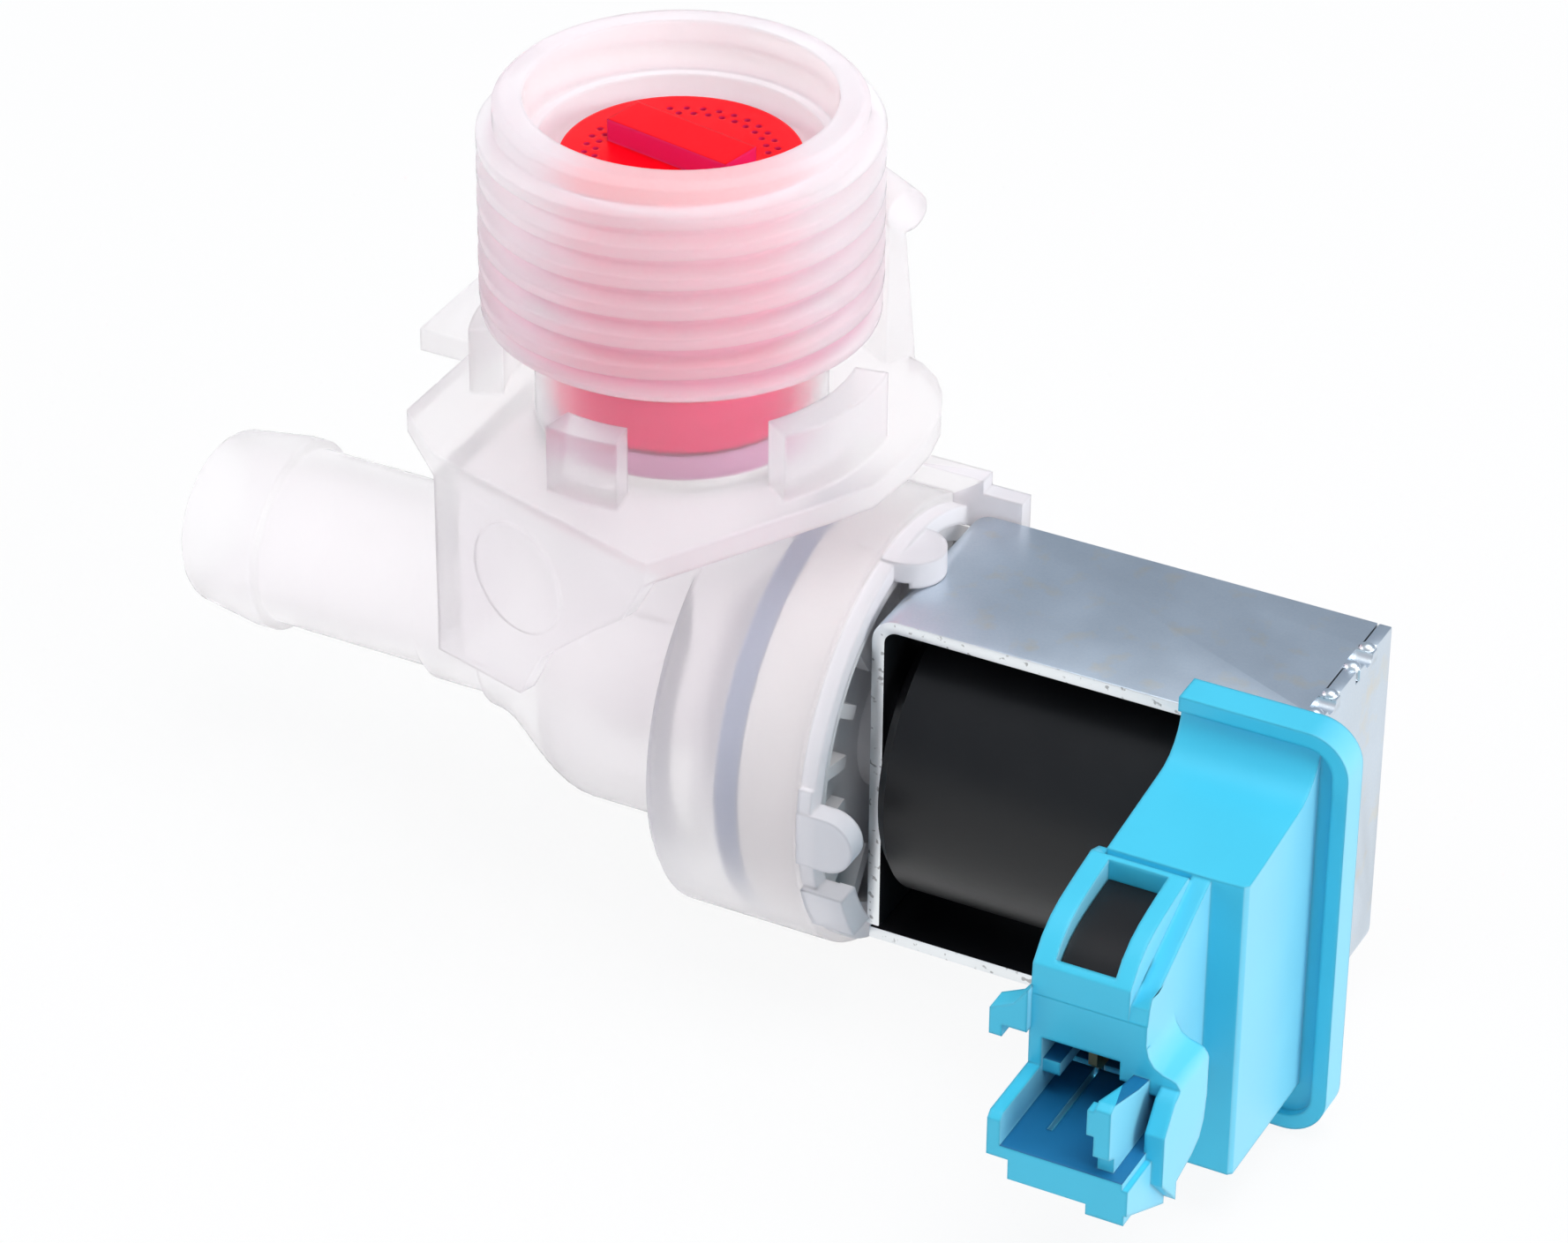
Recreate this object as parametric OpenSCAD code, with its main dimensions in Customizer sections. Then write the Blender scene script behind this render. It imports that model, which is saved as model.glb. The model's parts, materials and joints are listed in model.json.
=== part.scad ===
// Washing machine inlet valve: threaded inlet on +Z, barbed outlet on -X, solenoid on +X,
// plug socket on -Y. The origin is on the inlet's axis, on the face that meets the machine's panel.

/* [Inlet] */
// Diameter over the crests of the inlet thread
thread_d = 27; // [24:0.1:34]
// Pitch of the inlet thread
thread_pitch = 2.209; // [1.2:0.001:3]
// Whole turns of the inlet thread
thread_turns = 6; // [3:1:7]
// Depth of the inlet thread
thread_depth = 1.1; // [0.5:0.05:1.3]
// Height of the inlet's rim over the panel face
inlet_h = 23.5; // [23:0.1:32]
// Plain lead-in above the first turn
thread_lead = 1.4; // [0.5:0.1:3]
// Plain shoulder below the last turn
thread_shoulder = 1; // [0.4:0.1:3]
// Bore of the threaded part
inlet_bore_d = 20.8; // [18.5:0.1:21]
// Depth of the inlet's wider mouth
mouth_h = 3.7; // [1:0.1:6]
// Depth of the step under the mouth
mouth_step = 0.7; // [0.2:0.05:0.8]
// Outside diameter of the neck under the thread
neck_d = 19.8; // [19:0.1:22]
// Bore of the neck, which holds the strainer
neck_bore_d = 16.8; // [15.5:0.1:17.5]
// Bore below the washer seat
throat_d = 13.6; // [8:0.1:14]

/* [Panel seat] */
// Thickness of the panel plate
plate_t = 1.7; // [1:0.1:3]
// Height of the collar's wall segments
collar_h = 5; // [2:0.1:7]
// Outside diameter of the collar
collar_d = 28.8; // [27:0.1:31]
// Wall of the collar segments
collar_wall = 2.3; // [1.5:0.1:3]
// Height of the latch arm over the panel face
latch_h = 13; // [8:0.1:16]
// Thickness of the latch arm
latch_t = 1.3; // [0.8:0.1:2]
// Depth of the skirt under the plate
skirt_h = 15.5; // [8:0.1:18]
// Wall of the skirt
skirt_t = 1.4; // [0.8:0.1:2]

/* [Chamber] */
// Depth of the valve's axis below the panel face
valve_drop = 20.4; // [19.5:0.1:26]
// Outside diameter of the diaphragm chamber
chamber_d = 31.7; // [30:0.1:36]
// Distance from the inlet's axis to the chamber's left face
chamber_x = 5.35; // [4:0.05:8]
// Length of the chamber
chamber_l = 12.5; // [11.5:0.1:14]
// Wall of the chamber
chamber_wall = 1.9; // [1.2:0.1:2.2]
// Outside diameter of the bell that joins outlet and chamber
bell_d = 22.2; // [20:0.1:26]
// Wall of the bell
bell_wall = 1.5; // [1:0.1:2]

/* [Outlet] */
// Outside diameter of the outlet spigot
outlet_d = 12.8; // [11:0.1:14]
// Bore of the outlet spigot
outlet_bore_d = 9.8; // [6:0.1:10]
// Diameter over the barb
barb_d = 14; // [13:0.1:16]
// Distance from the inlet's axis to the spigot's tip
outlet_l = 37.5; // [30:0.5:50]
// Height of the spigot's axis over the valve's axis
outlet_rise = 0.8; // [0:0.1:1.2]

/* [Strainer and flow washer] */
// Diameter of the strainer
strainer_d = 16.2; // [13:0.1:16.4]
// Depth of the strainer's top below the inlet's rim
strainer_depth = 4.5; // [3:0.1:7]
// Wall of the strainer
strainer_wall = 1; // [0.6:0.1:1.4]
// Diameter of the strainer's fine holes
strainer_hole_d = 0.42; // [0.2:0.02:0.6]
// Fine holes in each ring
strainer_holes = 36; // [12:1:40]
// Thickness of the rubber flow washer
washer_t = 2; // [1:0.1:2.5]
// Hole of the rubber flow washer
washer_hole_d = 5.2; // [3:0.1:8]
// Thickness of the perforated washer seat
seat_t = 1.4; // [0.8:0.1:2]

/* [Diaphragm and bonnet] */
// Thickness of the diaphragm's clamped rim
rim_t = 1.7; // [1:0.1:2]
// Thickness of the diaphragm's web
web_t = 0.9; // [0.5:0.05:1.2]
// Diameter of the diaphragm's stiff core
core_d = 16.4; // [14:0.1:17]
// Travel of the core when the valve opens
core_travel = 2; // [1:0.1:2.2]
// Diameter of the pilot hole
pilot_d = 1; // [0.5:0.1:1.6]
// Outside diameter of the guide tube
tube_d = 9.8; // [9.6:0.1:10]
// Length of the guide tube
tube_l = 26.5; // [24:0.1:28]
// Wall of the guide tube
tube_wall = 0.8; // [0.6:0.05:0.9]

/* [Plunger] */
// Length of the plunger
plunger_l = 19.8; // [17:0.1:20]
// Travel of the plunger
plunger_travel = 2.5; // [1.5:0.1:3]
// Turns of the plunger's spring
spring_turns = 8; // [5:1:10]
// Wire of the plunger's spring
spring_wire = 0.4; // [0.3:0.02:0.5]

/* [Coil] */
// Gap between the yoke's left side and the coil
coil_gap = 1; // [0.8:0.05:1.8]
// Gap between the coil and the yoke's right side
coil_end_gap = 0.27; // [0.1:0.01:1]
// Gap between the coil's cover and the yoke's strips
coil_room = 1.25; // [0.8:0.05:1.8]
// Wall of the coil's cover
cover_wall = 0.9; // [0.6:0.1:1.2]
// Share of the bobbin's flanges that the winding fills
winding_fill = 0.73; // [0.3:0.01:0.9]
// Depth of the steel sleeves in the coil's ends
sleeve_l = 8; // [5:0.1:12]

/* [Yoke] */
// Distance from the inlet's axis to the yoke's left face
yoke_x = 18.15; // [18:0.05:18.6]
// Length of the yoke
yoke_l = 30.87; // [30.5:0.01:33]
// Height of the yoke
yoke_h = 26.1; // [25:0.1:29]
// Width of the yoke's strip
yoke_w = 14.9; // [12:0.1:16]
// Thickness of the yoke's strip
yoke_t = 0.95; // [0.7:0.05:1.1]
// Outer radius of the yoke's bends
bend_r = 1.9; // [1.2:0.1:2.5]

/* [Connector cap] */
// Distance from the cap's left face to the coil's right end
cap_overlap = 7.3; // [7:0.1:8]
// Width of the cap's body
cap_w = 10.5; // [10:0.1:11]
// Wall of the cap
cap_wall = 1.1; // [0.8:0.1:1.2]
// Reach of the cap's body in front of the yoke
cap_reach = 13.05; // [12.5:0.05:14]
// Reach of the nose in front of the body
nose_reach = 9.2; // [8.8:0.1:10]
// Width of the nose
nose_w = 8; // [7.8:0.1:8.3]
// Reach of the open tray in front of the nose
tray_reach = 5.9; // [4:0.1:8]
// Height of the cap's flange
flange_h = 31.5; // [28:0.1:32]
// Width of the cap's flange
flange_w = 11.9; // [11.5:0.1:13]
// Thickness of the cap's flange
flange_t = 1.85; // [1.2:0.05:2.2]
// Distance between the two terminals
terminal_pitch = 2.5; // [2.4:0.1:2.6]
// Thickness of the terminals
blade_t = 0.6; // [0.4:0.05:0.8]
// Height of the terminals
blade_h = 2.8; // [2.4:0.1:3]

/* [Hidden] */
$fn = 96;
slip = 0.05;       // gap between pieces that seat on each other
fit_gap = 0.1;     // radial gap between pieces that slide in each other
cut = 0.5;         // how far a cutter runs past the face it opens

// Levels on the inlet's axis
valve_z = -valve_drop;
thread_top = inlet_h - thread_lead;
thread_end = thread_top - thread_turns * thread_pitch - thread_shoulder;
crest_r = thread_d / 2;
root_r = crest_r - thread_depth;
neck_r = neck_d / 2;
strainer_r = strainer_d / 2;
strainer_top = inlet_h - strainer_depth;
ledge_z = -2.6;
seat_top = ledge_z + slip + seat_t;
washer_top = seat_top + slip + washer_t;
strainer_foot = washer_top + 0.3;
throat_end = valve_z + 7.4;

// Places along the valve's axis
chamber_r = chamber_d / 2;
chamber_end = chamber_x + chamber_l;
cavity_r = chamber_r - chamber_wall;
bell_r = bell_d / 2;
spigot_r = outlet_d / 2;
outlet_z = valve_z + outlet_rise;
shoulder_x = chamber_x + 4.5;
seat_x = shoulder_x - 0.5;
shoulder_r = cavity_r - 2.2;
rim_end = shoulder_x + slip + rim_t;
bonnet_x = rim_end + slip;
core_r = core_d / 2;
core_x = seat_x + slip + web_t + slip;
core_t = 1.2;
nozzle_x = core_x + core_t + 0.8;
seal_x = nozzle_x + slip;
tube_r = tube_d / 2;
tube_bore_r = tube_r - tube_wall;
dome_x = bonnet_x + 3.3;
tube_end = dome_x + tube_l;
plunger_r = tube_bore_r - fit_gap;
plunger_x = seal_x + 0.7;
plunger_end = plunger_x + plunger_l;
seal_r = 2.4;
seal_seat = 2.2;
spring_pocket = 5;
spring_r = 2;

// Coil and yoke
yoke_end = yoke_x + yoke_l;
yoke_in = yoke_x + yoke_t;
yoke_out = yoke_end - yoke_t;
yoke_bottom = valve_z - yoke_h / 2;
yoke_top = valve_z + yoke_h / 2;
yoke_front = -yoke_w / 2;
coil_r = yoke_h / 2 - yoke_t - coil_room;
coil_x = yoke_in + coil_gap;
coil_end = yoke_out - coil_end_gap;
coil_l = coil_end - coil_x;
sleeve_r = tube_r + fit_gap + 1.1;
bobbin_r = sleeve_r + slip;
bobbin_wall = 0.9;
bobbin_flange = 1.1;
bobbin_x = coil_x + cover_wall + slip;
bobbin_end = coil_end - cover_wall - slip;
bobbin_flange_r = coil_r - cover_wall - slip;
finger_w = 3;
finger_gap = 0.2;
finger_y = [-3.1, 3.1];

// Connector cap
cap_x = coil_end - cap_overlap;
cap_end = cap_x + cap_w;
body_front = yoke_front - cap_reach;
nose_front = body_front - nose_reach;
tray_front = nose_front - tray_reach;
flange_front = yoke_front - slip - flange_t;
flange_top = yoke_top + 2.3;
flange_x = cap_x + 0.8;
cap_top = yoke_top - 2;
cap_bottom = yoke_bottom + 0.45;
cap_round = 3;
nose_top = cap_top - 1.9;
nose_end = cap_x + nose_w;
block_y = nose_front + 4.3;
block_top = nose_top - 4.6;
socket_roof = nose_top - 7.8;
socket_floor = socket_roof - 4.5;
block_bottom = socket_floor - 6;
socket_back = nose_front + 6.2;
wall_top = socket_floor + 2.3;
window_x = cap_x + 1.4;
window_w = 4.1;
window_front = nose_front + 0.6;
window_back = body_front - 1;
rail_h = 0.8;
frame_end = window_x + window_w + 1.2;
latch_wall_x = cap_x + 7.25;
latch_wall = 1.1;
outer_wall_x = cap_end - 1.35;
post_x = cap_x + cap_wall + fit_gap;
post_w = nose_w - 2 * cap_wall - 2 * fit_gap;
post_bottom = socket_floor - 1.2;
arm_bottom = socket_roof + 1.3;
terminal_x = post_x + 1.9;
terminal_z = socket_floor + 0.9;
blade_tip = nose_front + 2.4;
blade_root = socket_back + 6;

// Puts a shape drawn along +Z onto the valve's axis, starting at x
module along_x(x, z = valve_z) {
    translate([x, 0, z]) rotate([0, 90, 0]) children();
}

// A round bar or a ring on the valve's axis
module ring_x(x0, x1, r, hole = 0) {
    along_x(x0) difference() {
        cylinder(r = r, h = x1 - x0);
        if (hole > 0) translate([0, 0, -cut]) cylinder(r = hole, h = x1 - x0 + 2 * cut);
    }
}

// A side profile in (y, z), extruded along X
module from_side(x0, x1, points) {
    translate([x0, 0, 0]) rotate([90, 0, 90]) linear_extrude(x1 - x0) polygon(points);
}

// A block between two opposite corners
module block(a, b) {
    translate(a) cube(b - a);
}

// Part of a ring wall, from one angle through a sweep
module ring_part(r, wall, h, start, sweep) {
    rotate([0, 0, start]) rotate_extrude(angle = sweep) translate([r - wall, 0]) square([wall, h]);
}

// Body: threaded inlet
module inlet_shape() {
    flank = 0.55;
    crest = thread_pitch - 2 * flank - 0.35;
    turns = [for (i = [0 : thread_turns - 1], p = [
        [crest_r, thread_top - i * thread_pitch - flank],
        [crest_r, thread_top - i * thread_pitch - flank - crest],
        [root_r, thread_top - i * thread_pitch - 2 * flank - crest],
        [root_r, thread_top - (i + 1) * thread_pitch]]) p];
    rotate_extrude() polygon(concat(
        [[0, inlet_h], [root_r - 0.5, inlet_h], [root_r, inlet_h - 0.5], [root_r, thread_top]],
        turns,
        [[crest_r - 0.1, thread_end + thread_shoulder - 0.4], [crest_r - 0.1, thread_end + 0.2],
         [crest_r - 0.4, thread_end], [neck_r, thread_end], [neck_r, valve_z], [0, valve_z]]));
}

// Body: plate that twists in behind the panel, with its ear
plate_outline = [[-15.9, -9.5], [-11.5, -13.6], [7.4, -19], [14.6, -6.5], [16.2, -3.5], [16.7, 1.3],
                 [16.6, 4.2], [16, 7], [14.9, 9.4], [13.7, 11], [12, 12.3], [8.6, 13.4], [-9, 13.4],
                 [-15.9, 8.6]];
ear_tip = -20.6;
ear_y = [0.3, 9];
module plate_shape() {
    translate([0, 0, -plate_t]) {
        linear_extrude(plate_t) polygon(plate_outline);
        block([ear_tip, ear_y[0], 0], [plate_outline[0][0] + 0.9, ear_y[1], plate_t]);
    }
}

// Body: crown of wall segments that fills the hole in the panel
collar_segments = [[-100, 21], [-34, 44], [108, 34], [158, 45]];
module collar_shape() {
    for (s = collar_segments) translate([0, 0, -0.2])
        ring_part(collar_d / 2, collar_wall, collar_h + 0.2, s[0], s[1]);
}

// Body: springy latch arm behind the thread, with its round head
latch_angle = 60;
latch_w = 6;
module latch_shape() {
    arm_r = crest_r + 1.1;
    rotate([0, 0, latch_angle]) {
        translate([0, latch_w / 2, 0]) rotate([90, 0, 0]) linear_extrude(latch_w)
            polygon([[arm_r - 0.2, -plate_t], [arm_r + latch_t + 1.1, -plate_t],
                     [arm_r + latch_t, latch_h - 3.2], [arm_r + latch_t, latch_h - 1],
                     [arm_r, latch_h - 1]]);
        translate([arm_r + latch_t + 0.05, 0, latch_h - 1.6]) rotate([90, 0, 0])
            cylinder(r = 1.6, h = latch_w, center = true, $fn = 32);
    }
}

// Body: skirt that hangs from the plate's front and left edges
module skirt_shape() {
    left = plate_outline[1];
    right = plate_outline[2];
    run = norm(right - left);
    turn = atan2(right[1] - left[1], right[0] - left[0]);
    edge = [for (e = [[1, 0.1], [0.89, 0.34], [0.77, 0.46], [0.5, 0.76], [0.4, 1], [0, 1]])
        [run * e[0], -skirt_h * e[1]]];
    translate([left[0], left[1], 0]) {
        rotate([0, 0, turn]) translate([0, skirt_t, 0]) rotate([90, 0, 0]) linear_extrude(skirt_t)
            polygon(concat([[0, -plate_t + 0.2], [run, -plate_t + 0.2]], edge));
        rotate([0, 0, turn]) translate([8, 0.1, -6.2]) rotate([90, 0, 0])
            cylinder(r = 4, h = 0.4);
    }
    block([left[0], left[1] + 0.3, -skirt_h], [left[0] + skirt_t, 11, -plate_t + 0.2]);
}

// Body: bell and round chamber, turned about the valve's axis
bell_start = -12.5;
bell_run = 9.2;
function bell_at(t) = t * t * (3 - 2 * t);
module chamber_shape() {
    root = spigot_r + 0.6;
    bell = [for (i = [0 : 12]) let (t = i / 12)
        [root + (bell_r - root) * bell_at(t), bell_start + bell_run * t]];
    lip = 1.1;
    along_x(0) rotate_extrude() polygon(concat(
        [[0, bell_start]], bell,
        [[bell_r, chamber_x], [chamber_r - 0.6, chamber_x], [chamber_r, chamber_x + 0.6],
         [chamber_r, chamber_end - lip], [chamber_r - 0.6, chamber_end - lip],
         [chamber_r - 0.6, chamber_end], [0, chamber_end]]));
}

// Body: snap tabs round the chamber's rim, which hold the yoke and the bonnet
module tab_shape() {
    tab_z = yoke_top + slip;
    tab_top = max(tab_z + 1.9, valve_z + cavity_r + 1);
    root_x = chamber_end - 1;
    lug_x = chamber_end - 4.5;
    lug_y = [yoke_w / 2 + 0.15, yoke_w / 2 + 1.6];
    lug_foot = valve_z + sqrt(cavity_r * cavity_r - lug_y[0] * lug_y[0]);
    head_r = 2.05;
    hook_r = 2.4;
    hook_x = yoke_x - 0.2;
    // Front tab over the yoke's top, with its small eye
    difference() {
        translate([0, -1.2, tab_z]) linear_extrude(tab_top - tab_z) {
            translate([root_x, -hook_r]) square([hook_x - root_x, 2 * hook_r]);
            translate([hook_x, 0]) circle(r = hook_r, $fn = 48);
        }
        translate([hook_x + 1, -0.4, tab_z]) cylinder(r = 0.45, h = tab_top - tab_z + cut, $fn = 24);
    }
    // Rear lug behind the yoke's back edge, in two steps
    block([lug_x, lug_y[0], lug_foot], [yoke_x + 0.85, lug_y[1], tab_z + 2.4]);
    block([lug_x, lug_y[0], lug_foot], [yoke_x + 3.75, lug_y[1], tab_z + 1.4]);
    // Round tab and foot that carry on the chamber's wall in front of the yoke
    intersection() {
        ring_x(root_x, yoke_end, chamber_r - 0.1, chamber_r - 2);
        rotate([90, 0, 0]) linear_extrude(chamber_d) {
            translate([root_x, valve_z + 1.5 - head_r]) square([yoke_x + 0.85 - root_x, 2 * head_r]);
            translate([yoke_x + 0.85, valve_z + 1.5]) circle(r = head_r, $fn = 48);
            translate([root_x, valve_z - 8.8]) square([yoke_x + 3.1 - root_x, 4]);
        }
    }
}

// Body: outlet spigot with its barb, step and rounded nose
module outlet_shape() {
    barb_x = outlet_l - 6;
    thick_end = 17.2;
    nose = [for (a = [0 : 15 : 75]) [spigot_r - 1.6 * (1 - cos(a)), outlet_l - 1.6 * (1 - sin(a))]];
    along_x(0, outlet_z) mirror([0, 0, 1]) rotate_extrude() polygon(concat(
        [[0, 4], [spigot_r + 0.6, 4], [spigot_r + 0.6, thick_end], [spigot_r, thick_end + 1],
         [spigot_r, barb_x - 1], [barb_d / 2, barb_x - 0.8], [barb_d / 2, barb_x + 0.4]],
        nose, [[spigot_r - 1.6, outlet_l], [0, outlet_l]]));
}

// Water ways that are cut out of the body
annulus_in = spigot_r;
module water_ways() {
    inner_d = inlet_bore_d - 2 * mouth_step;
    translate([0, 0, inlet_h - mouth_h]) cylinder(d = inlet_bore_d, h = inlet_h);
    translate([0, 0, thread_end + 1]) cylinder(d = inner_d, h = inlet_h);
    translate([0, 0, thread_end]) cylinder(d1 = neck_bore_d, d2 = inner_d, h = 1.001);
    translate([0, 0, ledge_z]) cylinder(d = neck_bore_d, h = inlet_h);
    translate([0, 0, throat_end]) cylinder(d = throat_d, h = inlet_h);
    ring_x(bell_start + 6.5, shoulder_x - 3, bell_r - bell_wall, annulus_in);
    ring_x(chamber_x + chamber_wall, shoulder_x, shoulder_r, annulus_in);
    ring_x(shoulder_x, chamber_end + 2 * cut, cavity_r);
    ring_x(seat_x, chamber_end, shoulder_r);
    along_x(-outlet_l - cut, outlet_z) cylinder(d = outlet_bore_d, h = outlet_l - 8 + cut);
    along_x(-9) cylinder(d = outlet_bore_d, h = seat_x + 9 + cut);
}

module valve_body() {
    color([0.93, 0.88, 0.92, 0.6]) difference() {
        union() {
            inlet_shape();
            plate_shape();
            collar_shape();
            latch_shape();
            skirt_shape();
            chamber_shape();
            tab_shape();
            outlet_shape();
        }
        water_ways();
    }
}

// Red strainer: a cup turned upside down, with a grip rib and rings of fine holes
module inlet_strainer() {
    grip = [10, 3.2, 1.6];
    foot_h = 3.8;
    color([0.93, 0.07, 0.17]) difference() {
        union() {
            translate([0, 0, strainer_foot]) cylinder(r = strainer_r, h = strainer_top - strainer_foot);
            translate([0, 0, strainer_foot]) cylinder(r = neck_bore_d / 2 - fit_gap, h = foot_h);
            rotate([0, 0, -11]) translate([-grip[0] / 2, -grip[1] / 2, strainer_top - 0.1])
                cube([grip[0], grip[1], grip[2] + 0.1]);
        }
        translate([0, 0, strainer_foot - cut])
            cylinder(r = strainer_r - strainer_wall, h = strainer_top - 1 - strainer_foot + cut);
        for (ring = [1, 2], i = [0 : strainer_holes - 1])
            rotate([0, 0, (i + ring / 2) * 360 / strainer_holes])
                translate([strainer_r - strainer_wall - 0.7 * ring, 0, strainer_top - 2])
                    cylinder(d = strainer_hole_d, h = 3, $fn = 16);
    }
}

// Rubber flow washer under the strainer
module flow_washer() {
    color([0.36, 0.30, 0.42]) translate([0, 0, seat_top + slip]) difference() {
        cylinder(d = neck_bore_d - 2 * fit_gap, h = washer_t);
        translate([0, 0, -cut]) cylinder(d = washer_hole_d, h = washer_t + 2 * cut);
        translate([0, 0, washer_t - 0.5]) cylinder(d1 = washer_hole_d, d2 = washer_hole_d + 2, h = 0.6);
    }
}

// Perforated disc that the flow washer lies on
module washer_seat() {
    ways = 6;
    color([0.95, 0.90, 0.93]) translate([0, 0, ledge_z + slip]) difference() {
        cylinder(d = neck_bore_d - 2 * fit_gap, h = seat_t);
        translate([0, 0, -cut]) cylinder(d = 3, h = seat_t + 2 * cut);
        for (i = [0 : ways - 1]) rotate([0, 0, i * 360 / ways])
            translate([4.2, 0, -cut]) cylinder(d = 2.6, h = seat_t + 2 * cut, $fn = 32);
    }
}

// Rubber diaphragm: clamped rim, rolled web and a flat middle that closes the seat
module diaphragm() {
    rim_in = shoulder_r - 0.15;
    rim_out = cavity_r - fit_gap;
    flat_x = seat_x + slip;
    roll = (rim_in + core_r) / 2;
    color([0.22, 0.23, 0.30]) along_x(0) rotate_extrude() polygon([
        [hub_r + slip, flat_x], [core_r, flat_x], [roll, flat_x - 0.9], [rim_in, shoulder_x + slip],
        [rim_out, shoulder_x + slip], [rim_out, rim_end], [rim_in + 0.2, rim_end],
        [rim_in - 0.4, shoulder_x + 0.9], [roll, flat_x], [core_r, flat_x + web_t],
        [hub_r + slip, flat_x + web_t]]);
}

// Stiff core on the diaphragm, with the pilot nozzle and the bleed hole
hub_r = 2.2;
module diaphragm_core() {
    foot = 1.4;
    color([0.92, 0.92, 0.90]) difference() {
        union() {
            ring_x(core_x, core_x + core_t, core_r - slip);
            ring_x(seat_x - foot, core_x + 0.1, hub_r);
            along_x(core_x + core_t - 0.1)
                cylinder(r1 = pilot_d / 2 + 1.4, r2 = pilot_d / 2 + 0.5, h = nozzle_x - core_x - core_t + 0.1);
        }
        along_x(seat_x - foot - cut) cylinder(d = pilot_d, h = 10, $fn = 32);
        along_x(core_x - cut) translate([0, core_r - 1.1, 0]) cylinder(d = 0.7, h = 3, $fn = 24);
    }
}

// White bonnet: clamps the diaphragm and guides the plunger
module bonnet() {
    ribs = 16;
    plate_x = bonnet_x + 2.5;
    rib_end = chamber_end - 0.3;
    outer = cavity_r - fit_gap;
    dome_r = core_r + 1;
    color([0.93, 0.93, 0.91]) difference() {
        union() {
            ring_x(bonnet_x, plate_x, outer);
            ring_x(plate_x - 0.1, dome_x + 1, dome_r + 1.2);
            ring_x(dome_x, tube_end, tube_r);
            ring_x(plate_x - 0.1, rib_end, outer, outer - 1.1);
            for (i = [0 : ribs - 1]) along_x(plate_x - 0.1) rotate([0, 0, (i + 0.5) * 360 / ribs])
                translate([dome_r - 0.4, -0.5, 0]) cube([outer - dome_r - 0.2, 1, rib_end - plate_x - 0.5]);
        }
        ring_x(bonnet_x - cut, dome_x, dome_r);
        ring_x(dome_x - cut, tube_end - 1.2, tube_bore_r);
    }
}

// Magnetic plunger with a pocket at each end
module plunger() {
    color([0.75, 0.76, 0.78]) difference() {
        along_x(plunger_x) rotate_extrude() polygon([[0, 0], [plunger_r - 0.5, 0], [plunger_r, 0.5],
            [plunger_r, plunger_l - 0.6], [plunger_r - 0.6, plunger_l], [0, plunger_l]]);
        ring_x(plunger_x - cut, plunger_x + seal_seat, seal_r);
        ring_x(plunger_end - spring_pocket, plunger_end + cut, spring_r + spring_wire / 2 + 0.3);
    }
}

// Rubber tip of the plunger
module plunger_seal() {
    color([0.12, 0.12, 0.13]) along_x(seal_x) rotate_extrude() polygon([[0, 0], [seal_r - 0.8, 0],
        [seal_r - slip, 0.7], [seal_r - slip, 0.7 + seal_seat - slip], [0, 0.7 + seal_seat - slip]]);
}

// Spring between the plunger's pocket and the closed end of the guide tube
module plunger_spring() {
    start = plunger_end - spring_pocket + slip + spring_wire / 2;
    stop = tube_end - 1.2 - slip - spring_wire / 2;
    steps = 14;
    sides = 6;
    rings = spring_turns * steps;
    points = [for (i = [0 : rings], j = [0 : sides - 1])
        let (a = i * 360 / steps, b = j * 360 / sides, r = spring_r + spring_wire / 2 * cos(b))
        [start + (stop - start) * i / rings + spring_wire / 2 * sin(b), r * cos(a), valve_z + r * sin(a)]];
    walls = [for (i = [0 : rings - 1], j = [0 : sides - 1]) let (k = (j + 1) % sides)
        [i * sides + j, i * sides + k, (i + 1) * sides + k, (i + 1) * sides + j]];
    first = [for (j = [0 : sides - 1]) sides - 1 - j];
    last = [for (j = [0 : sides - 1]) rings * sides + j];
    color([0.80, 0.81, 0.83]) polyhedron(points, concat([first], walls, [last]));
}

// Bobbin that carries the winding
module coil_bobbin() {
    barrel = bobbin_r + bobbin_wall;
    color([0.88, 0.86, 0.80]) difference() {
        union() {
            ring_x(bobbin_x, bobbin_end, barrel);
            ring_x(bobbin_x, bobbin_x + bobbin_flange, bobbin_flange_r);
            ring_x(bobbin_end - bobbin_flange, bobbin_end, bobbin_flange_r);
        }
        ring_x(bobbin_x - cut, bobbin_end + cut, bobbin_r);
    }
}

// Copper winding, one solid for all its turns
module coil_winding() {
    inner = bobbin_r + bobbin_wall + slip;
    color([0.72, 0.38, 0.18]) ring_x(bobbin_x + bobbin_flange + slip, bobbin_end - bobbin_flange - slip,
                                     inner + (bobbin_flange_r - inner) * winding_fill, inner);
}

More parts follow.
